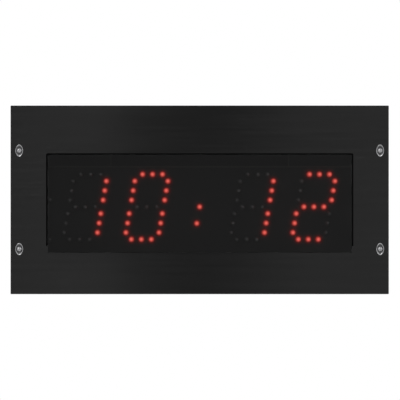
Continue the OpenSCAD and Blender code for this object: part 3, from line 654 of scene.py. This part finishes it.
bm = merged_copy("terminal_sockets")
for shell in islands(bm):
    low, high = box_of(shell)
    middle = (low + high) / 2
    # The square pins stand in the middle of the socket's mouth
    for face in shell:
        if all(near_pole(v.co, middle, pin_reach) and abs(v.co.z - middle.z) < pin_reach for v in face.verts):
            face.material_index = 1
round_edges(bm, sharp_edges(bm), 0.12 * mm)
make_piece("socket_housings", bm, [green_plastic, zinc], "green_polyamide", "terminal_sockets")
plug_body_l = 11 * mm
well_depth = 3 * mm
screw_reach = 1.6 * mm
for plug in ("power_plug", "signal_plug"):
    bm = merged_copy(plug)
    plug_low, plug_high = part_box(plug)
    middle = (plug_low + plug_high) / 2
    # The screws stand 2 mm high in the wells of the top
    screw_y = plug_high.y - plug_body_l / 2
    well_floor = plug_high.z - well_depth - near
    for face in bm.faces:
        if all(well_floor < v.co.z < plug_high.z - 0.5 * mm
               and min(math.hypot(v.co.x - middle.x - k * pole_gap, v.co.y - screw_y)
                       for k in (-1, 0, 1)) < screw_reach for v in face.verts):
            face.material_index = 1
    round_edges(bm, sharp_edges(bm), 0.15 * mm)
    make_piece(plug + "_housing", bm, [green_plastic, zinc], "green_polyamide", plug, body=plug)

# ---- Set-up switches and buttons -------------------------------------------------------------
# A red four-way slide switch block with white sliders, and two black key switches under the grey
# push buttons that set the hour and the minute. All are moulded.

red_plastic = moulded("red_switch_plastic", "#b3241d", "#9c1d18", 0.35)
white_plastic = moulded("white_sliders", "#e6e5e0", "#dcdbd5", 0.4)
black_plastic = moulded("black_key_switch", "#222224", "#1a1a1b", 0.45)
grey_plastic = moulded("grey_abs", "#b9b9b7", "#aeaeac", 0.42)
bm = merged_copy("setup_switches")
shells = islands(bm)
# The slide-switch block is wider than the two key switches beside it
block = max(shells, key=lambda shell: box_of(shell)[1].x - box_of(shell)[0].x)
block_low, block_high = box_of(block)
for shell in shells:
    for face in shell:
        face.material_index = 0 if shell is block else 2
round_edges(bm, sharp_edges(bm), 0.2 * mm)
ways = 4
slider_w = 1.3 * mm
slider_deep = 0.7 * mm
slot_h = 5 * mm
for k in range(ways):
    x = block_low.x + (block_high.x - block_low.x) * (k + 0.5) / ways
    z = (block_low.z + block_high.z) / 2
    # A white slider stands in each slot, up or down
    slider = bmesh.ops.create_cube(bm, size=1.0)["verts"]
    bmesh.ops.scale(bm, verts=slider, vec=(slider_w, slider_deep, slot_h / 2.4))
    up = 1 if k in (0, 3) else -1
    bmesh.ops.translate(bm, verts=slider, vec=(x, block_high.y, z + up * slot_h / 4))
    for face in {f for v in slider for f in v.link_faces}:
        face.material_index = 1
make_piece("switch_block_and_keys", bm, [red_plastic, white_plastic, black_plastic],
           "red_switch_plastic", "setup_switches")

# A button in millimetres, from its stem past the collar under the cover to the cap, which has a
# rounded rim and a shallow dish for the fingertip
stem_r = 1.5
collar_r = 4.2
collar_t = 0.9
cap_r = 3.2
cap_proud = 2.4
cover_t = 1.2
play = 0.1
soft = 0.15
for button in ("hour_button", "minute_button"):
    low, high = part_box(button)
    middle = (low + high) / 2
    length = (high.y - low.y) / mm
    collar_end = length - cap_proud - cover_t - play
    collar_start = collar_end - collar_t
    bm = bmesh.new()
    turned(bm, [(0, 0), (stem_r - 0.2, 0), (stem_r, 0.2), (stem_r, collar_start),
                (collar_r - soft, collar_start), (collar_r, collar_start + soft),
                (collar_r, collar_end - soft), (collar_r - soft, collar_end), (cap_r, collar_end),
                (cap_r, length - 0.6), (cap_r - 0.18, length - 0.18), (cap_r - 0.6, length),
                (cap_r - 1.2, length - 0.06), (cap_r - 2.0, length - 0.25), (0, length - 0.35)], 40)
    shape = as_template(button + "_shape", bm)
    make_piece(button + "_cap", copies(shape, [(middle.x, middle.z)], low.y), [grey_plastic],
               "grey_abs", button, body=button)

# ---- Case, cover and cover screws ------------------------------------------------------------
# Folded 1.2 mm steel sheet, powder coated in fine-textured black: soft bends and a faint orange
# peel. The cover is held by zinc-plated M3 pan-head screws.

coat, nt, place = new_material("black_coated_steel")
# Real texture is 0.3 mm across; it is drawn at 0.9 mm so that it shows
peel = add(nt, "ShaderNodeTexNoise", {"Vector": place, "Scale": 1 / (0.9 * mm), "Detail": 3.0})
cloud = add(nt, "ShaderNodeTexNoise", {"Vector": place, "Scale": 1 / 0.04, "Detail": 3.0})
speck = add(nt, "ShaderNodeMath", {0: peel.outputs[0], 1: cloud.outputs[0]}, operation="MULTIPLY")
tone = add(nt, "ShaderNodeMapRange", {"Value": speck.outputs[0], "From Min": 0.15, "From Max": 0.4})
colour = add(nt, "ShaderNodeMix", {0: tone.outputs[0], 6: linear("#1c1c1e"), 7: linear("#29292b")},
             data_type="RGBA")
rough = add(nt, "ShaderNodeMapRange", {"Value": cloud.outputs[0], "From Min": 0.3, "From Max": 0.7,
                                       "To Min": 0.48, "To Max": 0.62})
relief = add(nt, "ShaderNodeBump", {"Height": peel.outputs[0], "Strength": 0.3, "Distance": 0.15 * mm})
skin = add(nt, "ShaderNodeBsdfPrincipled", {
    "Base Color": colour.outputs[2], "Roughness": rough.outputs[0], "Normal": relief.outputs[0]})
add(nt, "ShaderNodeOutputMaterial", {"Surface": skin.outputs[0]})

case_low, case_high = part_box("rear_case")
touch = 0.001 * mm
bm = merged_copy("rear_case")


def on_case_outside(p):
    """True at the box's outer bends."""
    touching = (abs(abs(p.x) - case_high.x) < touch) + (abs(abs(p.z) - case_high.z) < touch)
    touching += (abs(p.y - case_low.y) < touch) + (abs(p.y - case_high.y) < touch)
    return touching >= 2


round_edges(bm, sharp_edges(bm, on_case_outside), 0.9 * mm, segments=3)
make_piece("folded_case", bm, [coat], "black_coated_steel", "rear_case")

cover_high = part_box("rear_cover")[1]
bm = merged_copy("rear_cover")
corners = sharp_edges(bm, lambda p: abs(abs(p.x) - cover_high.x) < touch
                      and abs(abs(p.z) - cover_high.z) < touch)
round_edges(bm, corners, 2.0 * mm, segments=5)
rims = sharp_edges(bm, lambda p: p.y > cover_high.y - near)
round_edges(bm, rims, 0.2 * mm)
make_piece("coated_cover", bm, [coat], "black_coated_steel", "rear_cover")

bm = merged_copy("cover_screws")
head_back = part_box("cover_screws")[1].y
rim_from = 2.6 * mm
rims = []
for shell in islands(bm):
    low, high = box_of(shell)
    axis = Vector(((low.x + high.x) / 2, head_back, (low.z + high.z) / 2))
    # Only the rim of the head, not the cross recess
    rims += [e for e in {e for face in shell for e in face.edges}
             if all(v.co.y > head_back - near and (v.co - axis).length > rim_from for v in e.verts)]
round_edges(bm, rims, 0.4 * mm, segments=3)
make_piece("pan_head_screws", bm, [zinc], "zinc_plated_steel", "cover_screws")

# ---- Studio ----------------------------------------------------------------------------------
# A plain pale floor below the clock, a white surround, four soft lamps, and a dark card behind
# the camera that only mirror-like surfaces see.

floor_z = -0.4
floor_half = 1.2


def in_studio(name, bm, material):
    """Turns a bmesh into something that stands around the clock."""
    mesh = bpy.data.meshes.new(name)
    bm.to_mesh(mesh)
    bm.free()
    mesh.materials.append(material)
    thing = bpy.data.objects.new(name, mesh)
    bpy.context.scene.collection.objects.link(thing)
    return thing


bm = bmesh.new()
bmesh.ops.create_grid(bm, x_segments=1, y_segments=1, size=floor_half)
bmesh.ops.translate(bm, verts=bm.verts, vec=(0, 0, floor_z))
pale, nt, place = new_material("pale_floor")
fine = add(nt, "ShaderNodeTexNoise", {"Vector": place, "Scale": 1 / 0.05, "Detail": 3.0})
colour = add(nt, "ShaderNodeMix", {0: fine.outputs[0], 6: linear("#e9e9e8"), 7: linear("#f1f1f0")},
             data_type="RGBA")
skin = add(nt, "ShaderNodeBsdfPrincipled", {"Base Color": colour.outputs[2], "Roughness": 0.8})
add(nt, "ShaderNodeOutputMaterial", {"Surface": skin.outputs[0]})
floor = in_studio("floor", bm, pale)

# The surround: white to the eye, in mirrors and through glass, dimmer as a light
surround_light = 0.5
world = bpy.data.worlds.new("studio")
bpy.context.scene.world = world
world.use_nodes = True
nt = world.node_tree
nt.nodes.clear()
path = add(nt, "ShaderNodeLightPath")
seen = add(nt, "ShaderNodeMath", {0: path.outputs["Is Camera Ray"], 1: path.outputs["Is Glossy Ray"]},
           operation="MAXIMUM")
seen = add(nt, "ShaderNodeMath", {0: seen.outputs[0], 1: path.outputs["Is Transmission Ray"]},
           operation="MAXIMUM")
strength = add(nt, "ShaderNodeMapRange", {"Value": seen.outputs[0], "To Min": surround_light, "To Max": 1.0})
sky = add(nt, "ShaderNodeBackground", {"Color": (1, 1, 1, 1), "Strength": strength.outputs[0]})
add(nt, "ShaderNodeOutputWorld", {"Surface": sky.outputs[0]})

# The card: a dark upright band over the middle, and a darker level patch in front of the window
camera_distance = 3.5
card_y = -camera_distance - 0.1
card_half_x = 1.0
card_half_z = 2.6
patch_half_x = 0.32
patch_half_z = 0.128
bm = bmesh.new()
bmesh.ops.create_grid(bm, x_segments=1, y_segments=1, size=1.0)
bmesh.ops.scale(bm, verts=bm.verts, vec=(card_half_x, card_half_z, 1))
bmesh.ops.rotate(bm, verts=bm.verts, matrix=Matrix.Rotation(math.pi / 2, 3, "X"))
bmesh.ops.translate(bm, verts=bm.verts, vec=(0, card_y, 0))
card_paint, nt, place = new_material("studio_card")
axes = add(nt, "ShaderNodeSeparateXYZ", {0: place})
# Brightness across the card, from left to right, as a ramp 1 m wide
across = add(nt, "ShaderNodeMapRange", {"Value": axes.outputs[0], "From Min": -0.5, "From Max": 0.5})
band = add(nt, "ShaderNodeValToRGB", {0: across.outputs[0]})
stops = ((-0.4, 0.76), (-0.33, 0.88), (-0.18, 1.0), (-0.148, 0.56), (-0.085, 0.55), (-0.03, 0.42),
         (0.03, 0.44), (0.13, 0.61), (0.21, 0.85), (0.27, 0.84))
elements = band.color_ramp.elements
for x, tone in stops:
    elements.new(x + 0.5).color = (tone, tone, tone, 1)
elements.remove(elements[-1])
elements.remove(elements[0])
size_x = add(nt, "ShaderNodeMath", {0: axes.outputs[0]}, operation="ABSOLUTE")
size_z = add(nt, "ShaderNodeMath", {0: axes.outputs[2]}, operation="ABSOLUTE")
past_x = add(nt, "ShaderNodeMapRange", {"Value": size_x.outputs[0], "From Min": patch_half_x,
                                        "From Max": patch_half_x + 0.03})
past_z = add(nt, "ShaderNodeMapRange", {"Value": size_z.outputs[0], "From Min": patch_half_z,
                                        "From Max": patch_half_z + 0.01})
past = add(nt, "ShaderNodeMath", {0: past_x.outputs[0], 1: past_z.outputs[0]}, operation="MAXIMUM")
# Above and below the patch the card is brighter, which keeps the plate beside the window even
near_z = add(nt, "ShaderNodeMapRange", {"Value": size_z.outputs[0], "From Min": 0.36, "From Max": 0.4,
                                        "To Min": 0.4, "To Max": 0.0})
near_x = add(nt, "ShaderNodeMath", {0: 1.0, 1: past_x.outputs[0]}, operation="SUBTRACT")
extra = add(nt, "ShaderNodeMath", {0: near_z.outputs[0], 1: near_x.outputs[0]}, operation="MULTIPLY")
gain = add(nt, "ShaderNodeMath", {0: extra.outputs[0], 1: 1.0}, operation="ADD")
beside = add(nt, "ShaderNodeMath", {0: band.outputs[0], 1: gain.outputs[0]}, operation="MULTIPLY")
patch = add(nt, "ShaderNodeMapRange", {"Value": axes.outputs[0], "From Min": -patch_half_x,
                                       "From Max": patch_half_x, "To Min": 0.27, "To Max": 0.288})
radiance = add(nt, "ShaderNodeMix", {0: past.outputs[0], 2: patch.outputs[0], 3: beside.outputs[0]},
               data_type="FLOAT")
light = add(nt, "ShaderNodeEmission", {"Color": (1, 1, 1, 1), "Strength": radiance.outputs[0]})
add(nt, "ShaderNodeOutputMaterial", {"Surface": light.outputs[0]})
card = in_studio("studio_card", bm, card_paint)
for kind in ("camera", "diffuse", "transmission", "volume_scatter", "shadow"):
    setattr(card, "visible_" + kind, False)

# Lamps: name, place, size and power
lamps = (("key", (-1.3, -1.9, 1.7), 1.2, 32), ("fill", (1.7, -1.3, 0.7), 1.4, 14),
         ("back", (-0.9, 2.0, 1.5), 1.3, 32), ("back_fill", (1.6, 1.7, 0.6), 1.3, 14))
for name, spot, size, power in lamps:
    lamp = bpy.data.lights.new(name, "AREA")
    lamp.size = size
    lamp.energy = power
    holder = bpy.data.objects.new(name, lamp)
    holder.location = spot
    holder.rotation_euler = (-Vector(spot)).to_track_quat("-Z", "Y").to_euler()
    bpy.context.scene.collection.objects.link(holder)

# ---- Camera ----------------------------------------------------------------------------------
# Straight in front of the plate, and far enough back that the view is nearly flat.

view_w = 0.39968  # width of what the camera sees at the plate's face
view_x = 0.32 * mm
view_z = -0.17 * mm
sensor_w = 36
camera_data = bpy.data.cameras.new("camera")
camera_data.sensor_width = sensor_w
camera_data.lens = sensor_w * camera_distance / view_w
camera = bpy.data.objects.new("camera", camera_data)
camera.location = (view_x, plate_front - camera_distance, view_z)
camera.rotation_euler = (math.pi / 2, 0, 0)
bpy.context.scene.collection.objects.link(camera)
bpy.context.scene.camera = camera
bpy.context.scene.view_settings.view_transform = "Standard"
